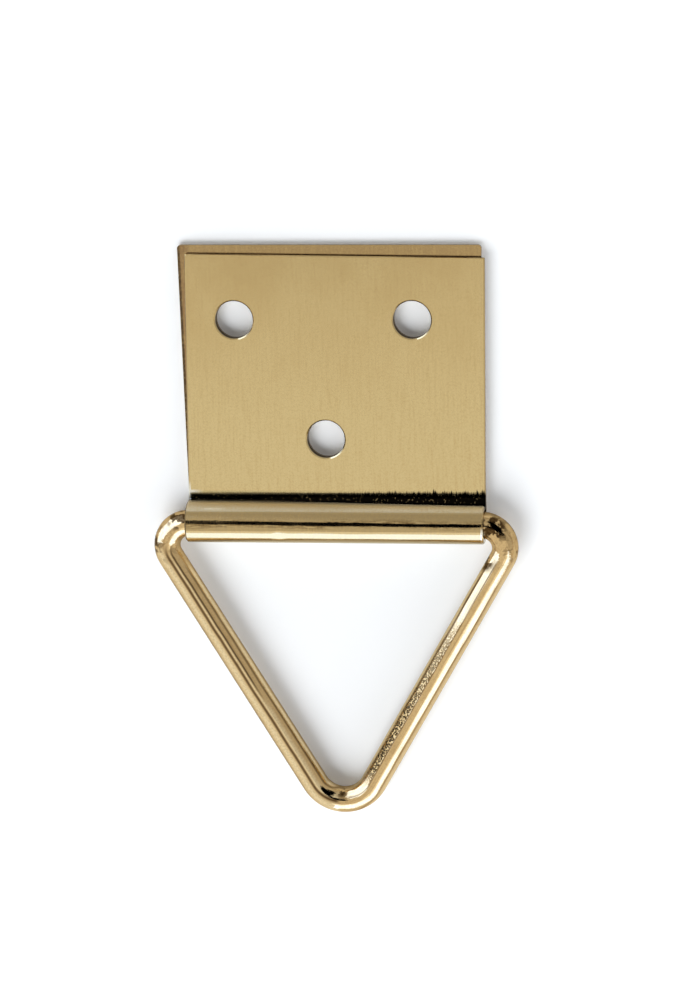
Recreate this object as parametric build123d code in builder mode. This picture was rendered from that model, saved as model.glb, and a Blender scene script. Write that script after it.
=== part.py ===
from build123d import *
import os
from math import asin, cos, degrees, radians, tan

# A picture hanger: one strip of brass sheet folded in half round one side of a wire triangle.
# It lies on its back: X along the wire's straight side, Y up the leaves, Z out of the front.
# The origin is on the axis of the lower screw hole, at the back face. Sizes are in millimetres.

# Wire triangle. Base and height run between the sharp corners of the wire's centre line.
wire_diameter = 2.65
ring_base = 37.6
ring_height = 32.1
corner_bend = 2.3
apex_bend = 3.45
apex_offset = 0.25  # the apex was bent a little to the right
ring_offset = -0.1  # the triangle lies a little to the left in its sleeve
butt_offset = -5.5  # where the wire's two ends meet, inside the sleeve
butt_gap = 0.3

# Folded strip. Each leaf's length runs from the wire's axis to its free end.
sheet = 0.5
plate_width = 30.0
front_length = 26.9
rear_length = 27.9
fold_skew = 0.87  # the strip was folded askew, so each leaf turns this far, opposite ways
rear_end_skew = -0.13  # the rear leaf's free end was sheared off square
rear_spread = 0.9  # and its right edge leans out by this many degrees
wire_clearance = 0.12
leaf_gap = 0.25
side_blend = 60.0
side_stock = 1.0
front_corner = 0.15
rear_corner = 0.35
edge_break = 0.12

# Joggle: past the wire the sheet turns down a wall to a tight crease, and then down the front
# leaf's foot. The wall hugs the wire at the right end and leaves it some room at the left.
left_wall_room = 0.3
right_wall_room = 0.02
crease_bend = 0.15
foot_bend = 4.0
left_foot_angle = 12.4
right_foot_angle = 16.7

# Screw holes, through both leaves. The upper pair is level with the wire's axis.
hole_diameter = 3.8
hole_spacing = 17.85
hole_rise = 12.05
hole_to_wire = 8.45
plate_offset = 0.86  # the holes were punched this far to the left of the strip's middle

wire_radius = wire_diameter / 2
sleeve_radius = wire_radius + wire_clearance
sleeve_y = -hole_to_wire
sleeve_z = sheet + sleeve_radius
sleeve_top = sleeve_z + sleeve_radius + sheet
front_face = sheet + leaf_gap + sheet
leaf_split = sheet + leaf_gap / 2
trim_stock = plate_width / 2


def strip_section(wall_room, foot_angle):
    """The strip's section across the wire, traced along the middle of the sheet.

    Its X is the part's Y, and its Y the part's Z. Stock is left past both ends for the trimming.
    """
    foot = radians(foot_angle)
    wrap_radius = sleeve_radius + sheet / 2
    crease_radius = crease_bend + sheet / 2
    foot_radius = foot_bend + sheet / 2
    leaf_middle = front_face - sheet / 2
    crease_top = leaf_middle + foot_radius * (1 - cos(foot)) + crease_radius * cos(foot)
    with BuildSketch() as section:
        with BuildLine():
            rear = Line((sleeve_y + rear_length + trim_stock, sheet / 2), (sleeve_y, sheet / 2))
            wrap = JernArc(rear @ 1, rear % 1, wrap_radius, -180)
            top = PolarLine(wrap @ 1, wall_room, direction=wrap % 1)
            shoulder = JernArc(top @ 1, top % 1, wrap_radius, -90)
            wall = PolarLine(shoulder @ 1, sleeve_z - crease_top, direction=shoulder % 1)
            crease = JernArc(wall @ 1, wall % 1, crease_radius, 90 - foot_angle)
            leaf_foot = JernArc(crease @ 1, crease % 1, foot_radius, foot_angle)
            Line(leaf_foot @ 1, (sleeve_y + front_length + trim_stock, leaf_middle))
        trace(line_width=sheet)
    return section.sketch


def strip_outline(length, skew, end_skew, spread, corner):
    """One leaf and the fold seen from the front, the leaf turned about the fold's middle."""
    reach = length + trim_stock
    left_lean = reach * tan(radians(skew))
    right_lean = reach * tan(radians(skew - spread))
    with BuildSketch() as outline:
        with Locations((plate_offset, sleeve_y)):
            Polygon(
                (-plate_width / 2, 0),
                (plate_width / 2, 0),
                (plate_width / 2 - right_lean, reach),
                (-plate_width / 2 - left_lean, reach),
                align=None,
            )
            Rectangle(2 * plate_width, 2 * length, rotation=end_skew, mode=Mode.INTERSECT)
            Rectangle(plate_width, sleeve_top, align=(Align.CENTER, Align.MAX))
        fillet(outline.vertices().sort_by(Axis.Y)[-2:], corner)
        fillet(outline.vertices().group_by(Axis.Y)[1], side_blend)
    return outline.sketch


# The room that the trimmed strip fills: the rear leaf's outline below, the front leaf's above.
with BuildPart() as trimmed_room:
    with BuildSketch():
        add(strip_outline(rear_length, fold_skew, rear_end_skew, rear_spread, rear_corner))
    extrude(amount=leaf_split)
    with BuildSketch(Plane.XY.offset(leaf_split)):
        add(strip_outline(front_length, -fold_skew, -fold_skew, 0, front_corner))
    extrude(amount=sleeve_top - leaf_split)

with BuildPart() as folded_plate:
    strip_half = plate_width / 2 + side_stock
    with BuildSketch(Plane.YZ.offset(plate_offset - strip_half)):
        add(strip_section(left_wall_room, left_foot_angle))
    with BuildSketch(Plane.YZ.offset(plate_offset + strip_half)):
        add(strip_section(right_wall_room, right_foot_angle))
    loft(ruled=True)
    add(trimmed_room.part, mode=Mode.INTERSECT)
    # Screw holes, punched through both leaves at once
    with Locations(
        (0, 0, front_face),
        (-hole_spacing / 2, hole_rise, front_face),
        (hole_spacing / 2, hole_rise, front_face),
    ):
        Hole(hole_diameter / 2)
    # The sheared edge is broken all round the strip's outer face, and at the holes' mouths
    low_faces = folded_plate.faces().filter_by_position(Axis.Z, leaf_split, sleeve_z)
    front_leaf = low_faces.filter_by(Plane.XY).sort_by(Axis.Z)[-1]
    bend_line = front_leaf.edges().sort_by(Axis.Y)[0]
    chamfer(front_leaf.edges() - [bend_line], edge_break)


def wire_route(plane):
    """The wire's centre line in a plane through the sleeve's axis, from end to end."""
    with BuildLine(plane) as route:
        FilletPolyline(
            (butt_offset + butt_gap / 2, 0),
            (ring_base / 2, 0),
            (apex_offset, -ring_height),
            (-ring_base / 2, 0),
            (butt_offset - butt_gap / 2, 0),
            radius=[corner_bend, apex_bend, corner_bend],
        )
    return route.line


# The triangle droops until its apex touches what the back face lies on
ring_reach = -wire_route(Plane.XY).bounding_box().min.Y
ring_droop = degrees(asin((sleeve_z - wire_radius) / ring_reach))
ring_plane = Plane((plate_offset + ring_offset, sleeve_y, sleeve_z)).rotated((ring_droop, 0, 0))
ring_route = wire_route(ring_plane)

with BuildPart() as triangle_ring:
    with BuildSketch(Plane(ring_route @ 0, z_dir=ring_route % 0)):
        Circle(wire_radius)
    sweep(path=ring_route)

os.makedirs("parts", exist_ok=True)
folded_plate.part.label = "folded_plate"
export_step(folded_plate.part, "parts/folded_plate.step")
triangle_ring.part.label = "triangle_ring"
export_step(triangle_ring.part, "parts/triangle_ring.step")
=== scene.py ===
from math import cos, pi, radians, sin, tan

import bpy
from mathutils import Matrix, Vector

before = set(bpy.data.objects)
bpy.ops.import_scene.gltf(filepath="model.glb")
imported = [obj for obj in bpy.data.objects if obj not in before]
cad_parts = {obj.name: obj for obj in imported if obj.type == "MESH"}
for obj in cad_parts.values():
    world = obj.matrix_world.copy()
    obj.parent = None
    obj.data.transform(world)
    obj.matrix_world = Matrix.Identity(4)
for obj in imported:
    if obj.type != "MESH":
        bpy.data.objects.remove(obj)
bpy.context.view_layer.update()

MM = 0.001

# Camera: where it looks, and how it stands to the part. Azimuth runs from +X towards +Y.
CAMERA_AIM = Vector((1.737, -6.431, 0.0)) * MM
CAMERA_AZIMUTH = 53.991
CAMERA_TILT = 15.037  # from straight above
CAMERA_ROLL = -1.52
CAMERA_DISTANCE = 419.154 * MM
CAMERA_LENS = 150.66
CAMERA_SENSOR = 36.0
CAMERA_CLIP = (0.01, 10.0)

# Cards that the metal mirrors, each given by its corners: azimuth and elevation from the part
CARD_DISTANCE = 0.9
KEY_CORNERS = [(-107, 1), (-107, 39), (-70, 46), (-33, 56), (-33, 19), (-70, 8)]
SPILL_CORNERS = [(-110, 36), (-110, 50), (-70, 58), (-30, 67), (-30, 52), (-70, 43)]
FILL_CORNERS = [(114, 1), (114, 56), (135, 66), (165, 70), (190, 70), (190, 1), (150, 1)]
SHADE_CORNERS = [(210, 77), (18, 54), (39, 42), (60, 29), (79, 36), (63, 74), (142, 74)]
CARD_WHITE = (0.46, 0.60, 1.0, 1)  # cool, so that warm brass mirrors it as cream
CARD_SHINE = 4.1
SPILL_WHITE = (0.85, 0.9, 1.0, 1)
SPILL_SHINE = 1.5
BLACK = (0, 0, 0, 1)

# Lights that the metal doesn't see: azimuth, elevation, degrees wide and high, and radiance
TABLE_LIGHTS = {
    "table_left": (238, 44, 50, 40, 5.0),
    "table_right": (-40, 26, 70, 40, 1.6),
}

# The room lights the floor mostly from low down, and is dimmer in reflections on one side
ROOM_LOW_LIGHT = 5.0
ROOM_HIGH_LIGHT = 0.1
ROOM_LIGHT_RISE = (0.15, 0.4)  # from low to high, by the sine of the elevation
ROOM_SHINE = 1.0
ROOM_DIM_SHINE = 0.68
DIM_TOWARDS = (50, 25)
DIM_SPREAD = (0.35, 0.75)  # from the rest of the room to there, by the cosine of the angle

# Floor
FLOOR_DROP = 0.02 * MM
FLOOR_SIZE = 3.0
FLOOR_COLOUR = (0.91, 0.935, 0.96, 1)
FLOOR_MIRRORED = (0.60, 0.60, 0.60, 1)
FLOOR_LIFT = 0.09

# Sockets of a Mix node, under, over and result, when it mixes numbers and when it mixes colours
NUMBER_SOCKETS = (2, 3, 0)
COLOUR_SOCKETS = (6, 7, 2)

# Brass, as it looks under plain white light, with painted shade, highlights and reflections among its
# colours
LEAF_GOLD = (0.78, 0.60, 0.285, 1)
LEAF_BROWN = (0.63, 0.44, 0.18, 1)
# painted shade on the rear leaf, deeper along its left edge
REAR_SHADE_BROWN = (0.51, 0.34, 0.145, 1)
REAR_DEEP_SHADE_BROWN = (0.38, 0.235, 0.105, 1)
# painted shade: the fold's darker copy of the leaf's gold
FOLD_SHADE_GOLD = (0.53, 0.385, 0.18, 1)
# pale of painted sheen and highlights on the sleeve
SHEEN_PALE = (0.85, 0.74, 0.48, 1)
# the colour of painted highlights
HIGHLIGHT_WHITE = (1.0, 0.96, 0.82, 1)
# the sheared edges' dark brown, which also paints the dark reflection on the sleeve
CUT_AND_REFLECTION_BROWN = (0.20, 0.12, 0.045, 1)
RIM_BROWN = (0.06, 0.035, 0.018, 1)
# near-black painted shade in the crease at the leaf's foot
CREASE_SHADE_BLACK = (0.004, 0.003, 0.002, 1)
LEAF_EDGE = (1, 1, 1, 1)
WIRE_GOLD = (0.76, 0.53, 0.245, 1)
# the light of painted reflections on the wire
REFLECTION_PALE = (0.98, 0.78, 0.45, 1)
WIRE_DEEP = (0.40, 0.24, 0.09, 1)
# the dark of painted reflections on the wire, and of painted shade at its bends
DARK_REFLECTION_AND_SHADE_BROWN = (0.11, 0.055, 0.018, 1)
PIT_GOLD = (0.42, 0.24, 0.065, 1)
PIT_BROWN = (0.03, 0.017, 0.005, 1)
# dark spots of painted shade and dark reflections on the wire
DARK_SPOT_BROWN = (0.045, 0.02, 0.004, 1)
WIRE_EDGE = (0.95, 0.85, 0.68, 1)

# Roughness: the leaf's, what the fold takes off it and the wall adds to it, and the wire's
LEAF_ROUGH = 0.15
FOLD_POLISH = -0.07
WALL_ROUGH = 0.35
WIRE_ROUGH = 0.06

# Places on the sheet that its finish follows, in millimetres of the part. A pair is where
# something starts to show and where it shows in full.
BROWNING = (-2.0, 18.5)  # up the front leaf
BROWN_CORNER = (-14.0, 18.0, 1.25)
BROWN_CORNER_REACH = 14.0
RIGHTWARD = (-6.0, 14.0)
FRONT_LEAF = (0.62, 0.82)  # anything lower belongs to the rear leaf
REAR_LEAF = (0.62, 0.57)
SLEEVE_LEFT, SLEEVE_RIGHT = -14.14, 15.86
FOLD_START = (-5.4, -6.2)
WALL_RISE = (1.5, 1.65)
WALL_FACE = (-7.15, -6.75)
CREASE_BACK = (-7.0, -6.6)
CREASE_FRONT = (-5.36, -5.72)  # the upper edge of the painted shade on the foot
STREAK_REACH = 1.6  # how far streaks carry that edge up the leaf
CREASE_SHADE_TOP = 1.42  # how high the painted shade stands up the wall at the left
CREASE_SHADE_CLIMB = 0.68  # and how much higher it stands at the right
CREASE_SHADE_FADE = (0.08, -0.04)  # over and under that height
DARK_REFLECTION_Y = -8.18  # a painted dark reflection that sways along the top of the sleeve
DARK_REFLECTION_HALF_WIDTH = 0.58
DARK_REFLECTION_SWAY = 1.2
DARK_REFLECTION_RISE = (3.4, 3.7)
GLINT_X, GLINT_HALF_LENGTH = -11.3, 1.6  # a painted glint on the wall
GLINT_Y, GLINT_HALF_WIDTH = -6.72, 0.12
REAR_EDGE_X, REAR_EDGE_Y = -14.1, -8.45  # a point on the rear leaf's left edge
REAR_EDGE_SLOPE = 0.0152  # how far left that edge runs for each millimetre up
REAR_DEEP_INSET = (1.6, 0.6)  # in from that edge, as is the next
REAR_RIM_INSET = (0.26, 0.16)
SLEEVE_RIM_INSET = (0.2, 0.08)  # in from the sleeve's left end
CUT_START = (-4.5, -4.0)  # up the leaf, clear of the foot's slope
FOOT_HIGHLIGHT_Y, FOOT_HIGHLIGHT_HALF_WIDTH = -5.35, 0.25  # a painted highlight along the foot at its left end
FOOT_HIGHLIGHT_X = (-12.4, -13.9)
CORNER_HIGHLIGHT_X, CORNER_HIGHLIGHT_HALF_HEIGHT = (-13.8, -13.9), 1.3  # a painted highlight up the leaf's left edge there
END_HIGHLIGHT_INSET = (0.24, 0.14)  # a painted highlight, in from the sleeve's right end
END_HIGHLIGHT_Y = (-8.3, -8.8)
SLEEVE_DENT = (-4.6, -9.4, 3.6)
SLEEVE_DENT_REACH = 0.9

# Places on the wire
WIRE_LEFT = (0.8, 0.2)
WIRE_RIGHT = (1.2, 1.8)
LEFT_LEG_OUT = (-0.835, -0.495, 0.238)  # square to the leg, and a little up
RIGHT_LEG_OUT = (0.866, -0.500, -0.028)
LINE_WANDER = 0.12
LINE_FADE_IN = 2.0
LINE_FADE_OUT = 3.0
PIT_SIDE = (-0.25, -0.4, -0.75, -0.95)  # out over the wire's round, as for the lines below
PIT_STRETCH = (-17.0, -22.0, -33.5, -35.5)  # down the leg
PIT_DEEPENING = (-22.0, -29.0)
RING_CORNERS = [(-18.0, -10.2, 1.9), (19.4, -10.2, 1.9)]
CORNER_REACH = 4.5
# Dark spots painted on the wire as shade and dark reflections
RING_DARK_SPOTS = [  # where, and how far they reach
    ((-15.0, -7.7, 3.1), 1.7),
    ((-17.4, -10.4, 1.9), 1.7),
    ((16.8, -8.5, 3.1), 1.9),
    ((16.3, -12.2, 2.2), 1.5),
    ((0.8, -36.5, 1.9), 1.0),
]

# Painted reflections, as lines along the ring's legs: how far out over the wire's round, from -1 inside
# to 1 outside, half the width, the Y where it starts and ends, and the share of its colour
LEFT_DARK_REFLECTIONS = [
    (0.20, 0.18, -10, -41, 1.0),
    (-0.14, 0.12, -10, -27, 1.0),
    (-0.57, 0.13, -12, -41, 0.7),
    (0.97, 0.14, -13, -40, 0.6),
]
LEFT_LIGHT_REFLECTIONS = [
    (0.60, 0.45, -10, -41, 1.0),
    (0.02, 0.14, -11, -41, 0.8),
    (-0.12, 0.25, -26, -41, 0.8),
    (-0.80, 0.20, -12, -41, 1.0),
]
RIGHT_DARK_REFLECTIONS = [
    (0.66, 0.10, -13, -41, 0.45),
    (-0.27, 0.10, -11, -40, 0.7),
    (-0.42, 0.06, -13, -30, 0.25),
    (-0.78, 0.12, -12, -31, 0.9),
]
RIGHT_LIGHT_REFLECTIONS = [(-0.95, 0.22, -12, -41, 1.0), (0.90, 0.26, -11, -41, 0.9)]

# Relief, as heights in millimetres
SLEEVE_WAVE = 0.045
SLEEVE_RIPPLE = 0.002
SLEEVE_DENT_DEPTH = 0.03
MILL_MARK = 0.03
WIRE_WAVE = 0.02
BEND_LUMP = 0.07
PIT_DEPTH = 0.05
FINE_GRAIN = 0.0015


class Nodes:
    """A node tree under construction. Most methods add nodes and return their socket."""

    def __init__(self, tree):
        self.tree = tree
        tree.nodes.clear()

    def add(self, kind, **settings):
        node = self.tree.nodes.new("ShaderNode" + kind)
        for name, value in settings.items():
            setattr(node, name, value)
        return node

    def plug(self, socket, value):
        """Links a socket to another node's, or sets it where the value is a plain one."""
        if isinstance(value, bpy.types.NodeSocket):
            self.tree.links.new(value, socket)
        else:
            socket.default_value = value

    def parts(self, vector):
        node = self.add("SeparateXYZ")
        self.plug(node.inputs[0], vector)
        return node.outputs

    def maths(self, operation, *values):
        node = self.add("Math", operation=operation)
        for socket, value in zip(node.inputs, values):
            self.plug(socket, value)
        return node.outputs["Value"]

    def vector(self, operation, *values, scale=None):
        node = self.add("VectorMath", operation=operation)
        for socket, value in zip(node.inputs, values):
            self.plug(socket, value)
        if scale is not None:
            node.inputs["Scale"].default_value = scale
        return node.outputs["Value" if operation in ("DOT_PRODUCT", "DISTANCE") else "Vector"]

    def ramp(self, value, start, end, low=0.0, high=1.0):
        """The low number where the value is at the start, and smoothly on to the high one."""
        node = self.add("MapRange", interpolation_type="SMOOTHSTEP")
        if start > end:
            start, end, low, high = end, start, high, low
        self.plug(node.inputs["Value"], value)
        node.inputs["From Min"].default_value = start
        node.inputs["From Max"].default_value = end
        node.inputs["To Min"].default_value = low
        node.inputs["To Max"].default_value = high
        return node.outputs["Result"]

    def plateau(self, value, start, full, waning, end):
        """0 up to the start, 1 from where it is full to where it wanes, and 0 past the end."""
        return self.both(self.ramp(value, start, full), self.ramp(value, end, waning))

    def band(self, value, middle, half_width):
        """1 where the value is at the middle, and smoothly down to 0 at half the width off it."""
        return self.ramp(self.maths("ABSOLUTE", self.maths("SUBTRACT", value, middle)), half_width, 0)

    def both(self, *values):
        """The product of values: of masks, where all of them are 1."""
        product = values[0]
        for value in values[1:]:
            product = self.maths("MULTIPLY", product, value)
        return product

    def either(self, *values):
        """The largest of values: of masks, where any of them is 1."""
        largest = values[0]
        for value in values[1:]:
            largest = self.maths("MAXIMUM", largest, value)
        return largest

    def mix(self, under, over, amount, data_type="FLOAT"):
        """A number or a colour over another, as far as the amount says."""
        node = self.add("Mix", data_type=data_type)
        sockets = COLOUR_SOCKETS if data_type == "RGBA" else NUMBER_SOCKETS
        under_socket, over_socket, result_socket = sockets
        self.plug(node.inputs[0], amount)
        self.plug(node.inputs[under_socket], under)
        self.plug(node.inputs[over_socket], over)
        return node.outputs[result_socket]

    def paint(self, under, over, *masks, share=1.0):
        """A colour laid over another where all the masks are 1, as strongly as its share."""
        if share != 1.0:
            masks += (share,)
        return self.mix(under, over, self.both(*masks), "RGBA")

    def seen_directly(self):
        """1 for the rays that show the background, from the camera or mirrored, and their path."""
        path = self.add("LightPath").outputs
        seen = self.either(path["Is Camera Ray"], path["Is Glossy Ray"], path["Is Transmission Ray"])
        return seen, path


class Brass(Nodes):
    """A brass material. Its place is in millimetres of the part."""

    def __init__(self, name, roughness, edge_tint):
        self.material = bpy.data.materials.new(name)
        self.material.use_nodes = True
        super().__init__(self.material.node_tree)
        self.shader = self.add("BsdfPrincipled")
        self.shader.inputs["Metallic"].default_value = 1.0
        self.shader.inputs["Roughness"].default_value = roughness
        self.shader.inputs["Specular Tint"].default_value = edge_tint
        output = self.add("OutputMaterial")
        self.plug(output.inputs["Surface"], self.shader.outputs["BSDF"])
        coordinates = self.add("TexCoord")
        self.place = self.vector("SCALE", coordinates.outputs["Object"], scale=1 / MM)
        self.x, self.y, self.z = self.parts(self.place)
        self.normal = coordinates.outputs["Normal"]
        self.facing_x, self.facing_y, self.facing_z = self.parts(self.normal)

    def near(self, point, reach):
        """1 at a point of the part, and smoothly down to 0 so many millimetres from it."""
        return self.ramp(self.vector("DISTANCE", self.place, point), reach, 0)

    def noise(self, spread, detail, place=None):
        """Noise from 0 to 1, with so many cells a millimetre along X, Y and Z."""
        node = self.add("TexNoise")
        self.plug(node.inputs["Vector"], self.vector("MULTIPLY", place or self.place, spread))
        node.inputs["Scale"].default_value = 1.0
        node.inputs["Detail"].default_value = detail
        return node.outputs["Fac"]

    def even_noise(self, spread, detail):
        return self.noise((spread, spread, spread), detail)

    def emboss(self, height, depth, below=None):
        """The normal after a relief of so many millimetres, over the relief below it."""
        node = self.add("Bump")
        node.inputs["Distance"].default_value = depth * MM
        self.plug(node.inputs["Height"], height)
        if below is not None:
            self.plug(node.inputs["Normal"], below)
        return node.outputs["Normal"]


class SheetBrass(Brass):
    """The folded sheet's brass, with the masks and the noise that its layers share."""

    def __init__(self):
        super().__init__("plate_brass", LEAF_ROUGH, LEAF_EDGE)
        self.rightward = self.ramp(self.x, *RIGHTWARD)
        self.in_front = self.ramp(self.z, *FRONT_LEAF)
        self.in_fold = self.ramp(self.y, *FOLD_START)
        self.on_wall = self.both(self.ramp(self.z, *WALL_RISE), self.ramp(self.y, *WALL_FACE))
        self.speckle = self.even_noise(5.0, 2)
        self.grain = self.noise((5.0, 0.35, 5.0), 3)


def direction(azimuth, elevation):
    """The unit vector towards an azimuth and an elevation, in degrees."""
    a, e = radians(azimuth), radians(elevation)
    return Vector((cos(a) * cos(e), sin(a) * cos(e), sin(e)))


def add_camera():
    towards = direction(CAMERA_AZIMUTH, 90 - CAMERA_TILT)
    side = Vector((0, 1, 0)).cross(towards).normalized()
    up = towards.cross(side)
    roll = radians(CAMERA_ROLL)
    right = cos(roll) * side + sin(roll) * up
    above = -sin(roll) * side + cos(roll) * up
    data = bpy.data.cameras.new("camera")
    data.sensor_width = CAMERA_SENSOR
    data.lens = CAMERA_LENS
    data.clip_start, data.clip_end = CAMERA_CLIP
    camera = bpy.data.objects.new("camera", data)
    turn = Matrix((right, above, towards)).transposed().to_4x4()
    camera.matrix_world = Matrix.Translation(CAMERA_AIM + CAMERA_DISTANCE * towards) @ turn
    bpy.context.scene.collection.objects.link(camera)
    bpy.context.scene.camera = camera


def add_table_light(name, azimuth, elevation, wide, high, radiance):
    """An area light for the floor alone, which fills wide by high degrees seen from the part."""
    data = bpy.data.lights.new(name, "AREA")
    data.shape = "RECTANGLE"
    data.size = 2 * CARD_DISTANCE * tan(radians(wide / 2))
    data.size_y = 2 * CARD_DISTANCE * tan(radians(high / 2))
    data.energy = radiance * pi * data.size * data.size_y
    light = bpy.data.objects.new(name, data)
    towards = direction(azimuth, elevation)
    turn = towards.to_track_quat("Z", "Y").to_matrix().to_4x4()
    light.matrix_world = Matrix.Translation(CARD_DISTANCE * towards) @ turn
    light.visible_camera = False
    light.visible_glossy = False
    bpy.context.scene.collection.objects.link(light)


def add_polygon(name, corners, material):
    mesh = bpy.data.meshes.new(name)
    mesh.from_pydata(corners, [], [list(range(len(corners)))])
    mesh.materials.append(material)
    polygon = bpy.data.objects.new(name, mesh)
    bpy.context.scene.collection.objects.link(polygon)
    return polygon


def add_card(name, corners, colour, strength):
    """A flat card that only reflections see, with corners given by azimuth and elevation."""
    material = bpy.data.materials.new(name)
    material.use_nodes = True
    tree = Nodes(material.node_tree)
    glow = tree.add("Emission")
    glow.inputs["Color"].default_value = colour
    glow.inputs["Strength"].default_value = strength
    output = tree.add("OutputMaterial")
    tree.plug(output.inputs["Surface"], glow.outputs["Emission"])
    points = [CARD_DISTANCE * direction(a, e) for a, e in corners]
    card = add_polygon(name, points, material)
    card.visible_camera = False
    card.visible_diffuse = False
    card.visible_shadow = False


def add_room():
    """The world: white to the camera, dimmer on one side in reflections, and a light from low down."""
    world = bpy.data.worlds.new("room")
    bpy.context.scene.world = world
    world.use_nodes = True
    tree = Nodes(world.node_tree)
    outward = tree.add("TexCoord").outputs["Generated"]
    dim_side = tree.vector("DOT_PRODUCT", outward, direction(*DIM_TOWARDS))
    shine = tree.ramp(dim_side, *DIM_SPREAD, low=ROOM_SHINE, high=ROOM_DIM_SHINE)
    height = tree.parts(outward)["Z"]
    light = tree.ramp(height, *ROOM_LIGHT_RISE, low=ROOM_LOW_LIGHT, high=ROOM_HIGH_LIGHT)
    seen, path = tree.seen_directly()
    shown = tree.mix(shine, 1.0, path["Is Camera Ray"])
    background = tree.add("Background")
    tree.plug(background.inputs["Strength"], tree.mix(light, shown, seen))
    output = tree.add("OutputWorld")
    tree.plug(output.inputs["Surface"], background.outputs["Background"])


def floor_material():
    """Pale and matt, a little lifted where it is seen, and see-through from below."""
    material = bpy.data.materials.new("floor")
    material.use_nodes = True
    tree = Nodes(material.node_tree)
    seen, path = tree.seen_directly()
    matt = tree.add("BsdfDiffuse")
    tree.plug(matt.inputs["Color"], tree.paint(FLOOR_COLOUR, FLOOR_MIRRORED, path["Is Glossy Ray"]))
    glow = tree.add("Emission")
    tree.plug(glow.inputs["Strength"], tree.both(seen, FLOOR_LIFT))
    lit = tree.add("AddShader")
    tree.plug(lit.inputs[0], matt.outputs["BSDF"])
    tree.plug(lit.inputs[1], glow.outputs["Emission"])
    shown = tree.add("MixShader")
    tree.plug(shown.inputs[0], tree.add("NewGeometry").outputs["Backfacing"])
    tree.plug(shown.inputs[1], lit.outputs["Shader"])
    tree.plug(shown.inputs[2], tree.add("BsdfTransparent").outputs["BSDF"])
    output = tree.add("OutputMaterial")
    tree.plug(output.inputs["Surface"], shown.outputs["Shader"])
    return material


def add_floor():
    half = FLOOR_SIZE / 2
    corners = [(-half, -half), (half, -half), (half, half), (-half, half)]
    floor = add_polygon("floor", [(x, y, -FLOOR_DROP) for x, y in corners], floor_material())


def leaf_tone(brass):
    """Gold that browns towards the leaf's top and its upper left corner."""
    rise = brass.both(brass.ramp(brass.y, *BROWNING), brass.even_noise(0.16, 3))
    corner = brass.both(brass.near(BROWN_CORNER, BROWN_CORNER_REACH), 0.15)
    return brass.paint(LEAF_GOLD, LEAF_BROWN, brass.maths("ADD", rise, corner))


def fold_tone(brass, colour):
    """The fold painted a darker gold as shade, its wall painted paler as sheen, a painted dark
    reflection along the top, and painted highlights on the wall and the underside.
    """
    # Painted shade: the fold a darker gold than the leaf
    colour = brass.paint(colour, FOLD_SHADE_GOLD, brass.in_fold)
    # Painted sheen: the wall painted paler, more towards the right
    sheen_rightward = brass.maths("MULTIPLY_ADD", brass.rightward, 0.5, 0.5)
    colour = brass.paint(colour, SHEEN_PALE, brass.on_wall, sheen_rightward, share=0.85)

    # Painted dark reflection: a fuzzy brown band that sways along the top of the sleeve
    fuzz = brass.ramp(brass.noise((0.8, 6.0, 0.8), 3), 0.36, 0.54)
    sway = brass.maths("MULTIPLY_ADD", brass.even_noise(0.16, 1), DARK_REFLECTION_SWAY, -DARK_REFLECTION_SWAY / 2)
    along = brass.maths("SUBTRACT", brass.y, sway)
    dark_reflection = brass.both(brass.band(along, DARK_REFLECTION_Y, DARK_REFLECTION_HALF_WIDTH), fuzz)
    colour = brass.paint(colour, CUT_AND_REFLECTION_BROWN, dark_reflection, brass.ramp(brass.z, *DARK_REFLECTION_RISE), share=0.9)

    # Painted highlights: a glint on the wall, and the underside painted pale as a reflection of the
    # floor
    across = brass.band(brass.x, GLINT_X, GLINT_HALF_LENGTH)
    glint = brass.both(across, brass.band(brass.y, GLINT_Y, GLINT_HALF_WIDTH))
    underside_reflection = brass.both(brass.in_fold, brass.ramp(brass.facing_y, -0.75, -0.95))
    return brass.paint(colour, SHEEN_PALE, brass.either(glint, underside_reflection))


def rear_shade(brass, colour):
    """The rear leaf is painted darker as shade, most of all along its left edge."""
    rear = brass.both(brass.ramp(brass.z, *REAR_LEAF), brass.ramp(brass.facing_z, 0.3, 0.6))
    colour = brass.paint(colour, REAR_SHADE_BROWN, rear)
    up = brass.maths("SUBTRACT", brass.y, REAR_EDGE_Y)
    lean = brass.maths("MULTIPLY_ADD", up, REAR_EDGE_SLOPE, brass.x)
    inset = brass.maths("SUBTRACT", lean, REAR_EDGE_X)
    colour = brass.paint(colour, REAR_DEEP_SHADE_BROWN, rear, brass.ramp(inset, *REAR_DEEP_INSET))
    rear_rim = brass.both(rear, brass.ramp(inset, *REAR_RIM_INSET))
    return colour, rear_rim


def cut_tone(brass, colour, rear_rim):
    """The sheared edges are dark, and the rims of the rear leaf and the sleeve darker still."""
    sideways = brass.ramp(brass.maths("ABSOLUTE", brass.facing_x), 0.6, 0.85)
    upright = brass.ramp(brass.maths("ABSOLUTE", brass.facing_z), 0.8, 0.4)
    cut = brass.either(sideways, brass.both(brass.ramp(brass.y, *CUT_START), upright))
    inset = brass.maths("SUBTRACT", brass.x, SLEEVE_LEFT)
    sleeve_rim = brass.both(brass.in_fold, brass.ramp(inset, *SLEEVE_RIM_INSET))
    colour = brass.paint(colour, CUT_AND_REFLECTION_BROWN, cut, share=0.8)
    return brass.paint(colour, RIM_BROWN, brass.either(rear_rim, sleeve_rim), share=0.9)


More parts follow.
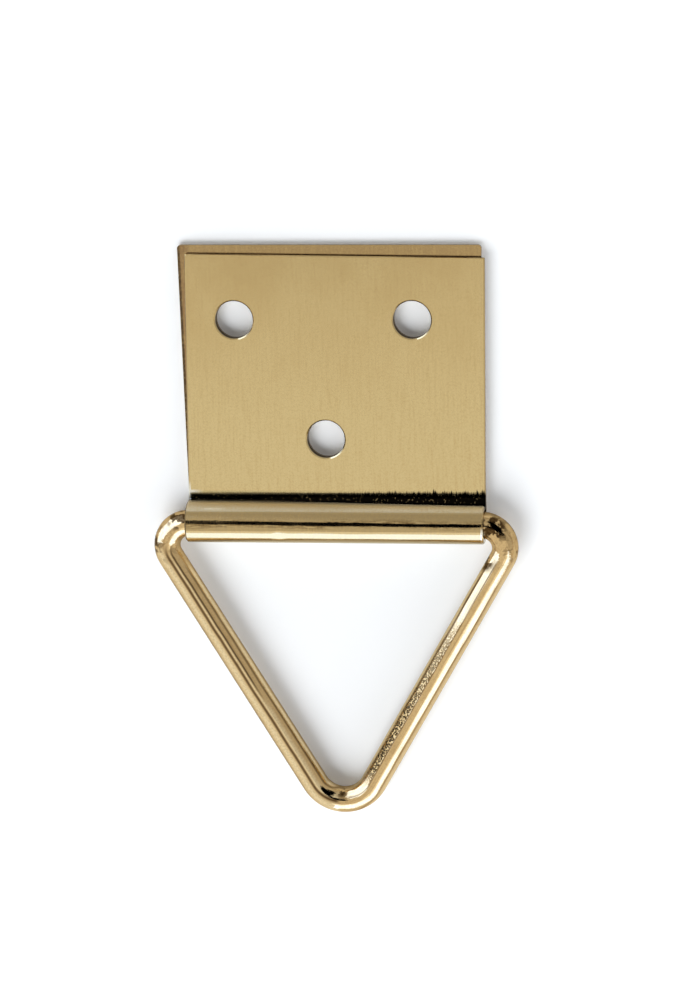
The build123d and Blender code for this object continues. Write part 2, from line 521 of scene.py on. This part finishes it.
def foot_crease_shade(brass):
    """Painted shade, dark in the crease and on the leaf's foot, up to a streaky line, and more at the
    right.
    """
    streaks = brass.maths("SUBTRACT", brass.noise((7.0, 0.3, 0.3), 3), 0.4)
    reach = brass.both(streaks, brass.rightward, STREAK_REACH)
    on_foot = brass.ramp(brass.maths("SUBTRACT", brass.y, reach), *CREASE_FRONT)
    in_crease = brass.both(on_foot, brass.ramp(brass.y, *CREASE_BACK))
    top = brass.maths("MULTIPLY_ADD", brass.rightward, CREASE_SHADE_CLIMB, CREASE_SHADE_TOP)
    low = brass.ramp(brass.maths("SUBTRACT", brass.z, top), *CREASE_SHADE_FADE)
    broken_by_speckle = brass.maths("MULTIPLY_ADD", brass.ramp(brass.speckle, 0.62, 0.72), -0.5, 1.0)
    return brass.both(in_crease, low, brass.in_front, broken_by_speckle)


def painted_highlights(brass):
    """Painted highlights: along the foot and up the leaf's edge at its left corner, and in from the
    sleeve's right end.
    """
    foot_highlight = brass.both(brass.ramp(brass.x, *FOOT_HIGHLIGHT_X), brass.band(brass.y, FOOT_HIGHLIGHT_Y, FOOT_HIGHLIGHT_HALF_WIDTH))
    corner_highlight = brass.both(brass.ramp(brass.x, *CORNER_HIGHLIGHT_X), brass.band(brass.y, FOOT_HIGHLIGHT_Y, CORNER_HIGHLIGHT_HALF_HEIGHT))
    inset = brass.maths("SUBTRACT", SLEEVE_RIGHT, brass.x)
    end_highlight = brass.both(brass.in_fold, brass.ramp(inset, *END_HIGHLIGHT_INSET), brass.ramp(brass.y, *END_HIGHLIGHT_Y), 0.8)
    return brass.either(foot_highlight, corner_highlight, end_highlight)


def sheet_relief(brass):
    """Waves and ripples pressed into the sleeve, one dent, and a fine grain all over."""
    waves = brass.both(brass.noise((0.13, 0.5, 0.5), 2), brass.in_fold)
    ripples = brass.both(brass.noise((0.9, 2.5, 2.5), 2), brass.in_fold)
    dent = brass.near(SLEEVE_DENT, SLEEVE_DENT_REACH)
    normal = brass.emboss(waves, SLEEVE_WAVE)
    normal = brass.emboss(ripples, SLEEVE_RIPPLE, normal)
    normal = brass.emboss(dent, -SLEEVE_DENT_DEPTH, normal)
    return brass.emboss(brass.maths("ADD", brass.speckle, brass.grain), FINE_GRAIN, normal)


def plate_brass():
    brass = SheetBrass()
    colour = fold_tone(brass, leaf_tone(brass))
    colour, rear_rim = rear_shade(brass, colour)
    colour = cut_tone(brass, colour, rear_rim)
    flecks = brass.maths("ADD", brass.ramp(brass.speckle, 0.4, 0.75), brass.ramp(brass.grain, 0.4, 0.8))
    colour = brass.paint(colour, LEAF_BROWN, flecks, share=0.32)
    # Painted shade: near black in the crease at the leaf's foot, in colour and in edge tint
    painted_crease_shade = foot_crease_shade(brass)
    colour = brass.paint(colour, CREASE_SHADE_BLACK, painted_crease_shade)
    # Painted highlights at the foot's left corner and at the sleeve's right end
    colour = brass.paint(colour, HIGHLIGHT_WHITE, painted_highlights(brass), brass.in_front)
    rough = brass.maths("MULTIPLY_ADD", brass.in_fold, FOLD_POLISH, LEAF_ROUGH)
    rough = brass.maths("MULTIPLY_ADD", brass.on_wall, WALL_ROUGH, rough)
    brass.plug(brass.shader.inputs["Base Color"], colour)
    brass.plug(brass.shader.inputs["Specular Tint"], brass.paint(LEAF_EDGE, CREASE_SHADE_BLACK, painted_crease_shade))
    brass.plug(brass.shader.inputs["Roughness"], rough)
    brass.plug(brass.shader.inputs["Normal"], sheet_relief(brass))
    return brass.material


def leg_reflections(brass, colour, leg, out, tone, lines):
    """Painted reflections, as lines along a leg of the ring, in one tone."""
    for middle, half_width, start, end, share in lines:
        length = brass.plateau(brass.y, start, start - LINE_FADE_IN, end + LINE_FADE_OUT, end)
        colour = brass.paint(colour, tone, leg, length, brass.band(out, middle, half_width), share)
    return colour


def leg_pits(brass, colour, leg, out):
    """Pits on a leg's inner side, deeper down it, and the relief that they leave."""
    pitted = brass.both(brass.plateau(out, *PIT_SIDE), leg, brass.plateau(brass.y, *PIT_STRETCH))
    pits = brass.both(brass.ramp(brass.noise((6.5, 5.5, 6.5), 2), 0.45, 0.54), pitted)
    deeper = brass.ramp(brass.y, *PIT_DEEPENING, low=0.65, high=1.0)
    colour = brass.paint(colour, PIT_GOLD, pitted, deeper, share=0.8)
    return brass.paint(colour, PIT_BROWN, pits, deeper), pits


def bend_shade_and_lumps(brass, colour):
    """Painted shade and dark reflections: dark blotches where the wire was bent at the ring's upper
    corners, and dark spots; and lumps where it was bent.
    """
    bent = brass.either(*[brass.near(corner, CORNER_REACH) for corner in RING_CORNERS])
    blotches = brass.even_noise(1.4, 3)
    colour = brass.paint(colour, DARK_REFLECTION_AND_SHADE_BROWN, brass.ramp(blotches, 0.5, 0.62), bent, share=0.8)
    for spot, reach in RING_DARK_SPOTS:
        dark_spot = brass.both(brass.near(spot, reach), brass.ramp(blotches, 0.40, 0.54), 2.2)
        colour = brass.paint(colour, DARK_SPOT_BROWN, brass.maths("MINIMUM", dark_spot, 0.97))
    return colour, brass.both(blotches, bent)


def wire_brass():
    brass = Brass("wire_brass", WIRE_ROUGH, WIRE_EDGE)

    # Mill marks: noise over the normal runs along the wire, and round its bends
    around = brass.vector("SCALE", brass.normal, scale=4.0)
    around = brass.vector("ADD", around, brass.vector("SCALE", brass.place, scale=0.05))
    marks = brass.noise((1, 1, 1), 3, around)
    clouds = brass.even_noise(0.3, 3)
    colour = brass.paint(WIRE_GOLD, WIRE_DEEP, brass.ramp(marks, 0.48, 0.75), share=0.55)
    colour = brass.paint(colour, WIRE_DEEP, brass.ramp(clouds, 0.5, 0.8), share=0.4)

    # Each leg, and how far out a place is over the wire's round there
    wander = brass.maths("MULTIPLY_ADD", clouds, LINE_WANDER, -LINE_WANDER / 2)
    left = brass.ramp(brass.x, *WIRE_LEFT)
    right = brass.ramp(brass.x, *WIRE_RIGHT)
    out_left = brass.maths("ADD", brass.vector("DOT_PRODUCT", brass.normal, LEFT_LEG_OUT), wander)
    out_right = brass.maths("ADD", brass.vector("DOT_PRODUCT", brass.normal, RIGHT_LEG_OUT), wander)
    # Painted reflections: light and dark lines along the legs, placed by how far out over the wire's
    # round
    colour = leg_reflections(brass, colour, left, out_left, REFLECTION_PALE, LEFT_LIGHT_REFLECTIONS)
    colour = leg_reflections(brass, colour, right, out_right, REFLECTION_PALE, RIGHT_LIGHT_REFLECTIONS)
    colour = leg_reflections(brass, colour, left, out_left, DARK_REFLECTION_AND_SHADE_BROWN, LEFT_DARK_REFLECTIONS)
    colour = leg_reflections(brass, colour, right, out_right, DARK_REFLECTION_AND_SHADE_BROWN, RIGHT_DARK_REFLECTIONS)

    colour, pits = leg_pits(brass, colour, right, out_right)
    # Painted shade and dark reflections at the bends and in spots, and lumps at the bends
    colour, lumps = bend_shade_and_lumps(brass, colour)
    speckle = brass.even_noise(5.0, 2)
    colour = brass.paint(colour, WIRE_DEEP, brass.ramp(speckle, 0.4, 0.7), share=0.2)
    brass.plug(brass.shader.inputs["Base Color"], colour)

    normal = brass.emboss(marks, MILL_MARK)
    normal = brass.emboss(brass.even_noise(0.3, 2), WIRE_WAVE, normal)
    normal = brass.emboss(lumps, BEND_LUMP, normal)
    normal = brass.emboss(pits, PIT_DEPTH, normal)
    normal = brass.emboss(speckle, FINE_GRAIN, normal)
    brass.plug(brass.shader.inputs["Normal"], normal)
    return brass.material


def dress(node, material):
    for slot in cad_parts[node].material_slots:
        slot.material = material


add_camera()
add_room()
add_floor()
add_card("key", KEY_CORNERS, CARD_WHITE, CARD_SHINE)
add_card("key_spill", SPILL_CORNERS, SPILL_WHITE, SPILL_SHINE)
add_card("fill", FILL_CORNERS, CARD_WHITE, CARD_SHINE)
add_card("camera_shade", SHADE_CORNERS, BLACK, 0.0)
for light_name, placing in TABLE_LIGHTS.items():
    add_table_light(light_name, *placing)
dress("folded_plate", plate_brass())
dress("triangle_ring", wire_brass())
bpy.context.scene.view_settings.view_transform = "Standard"
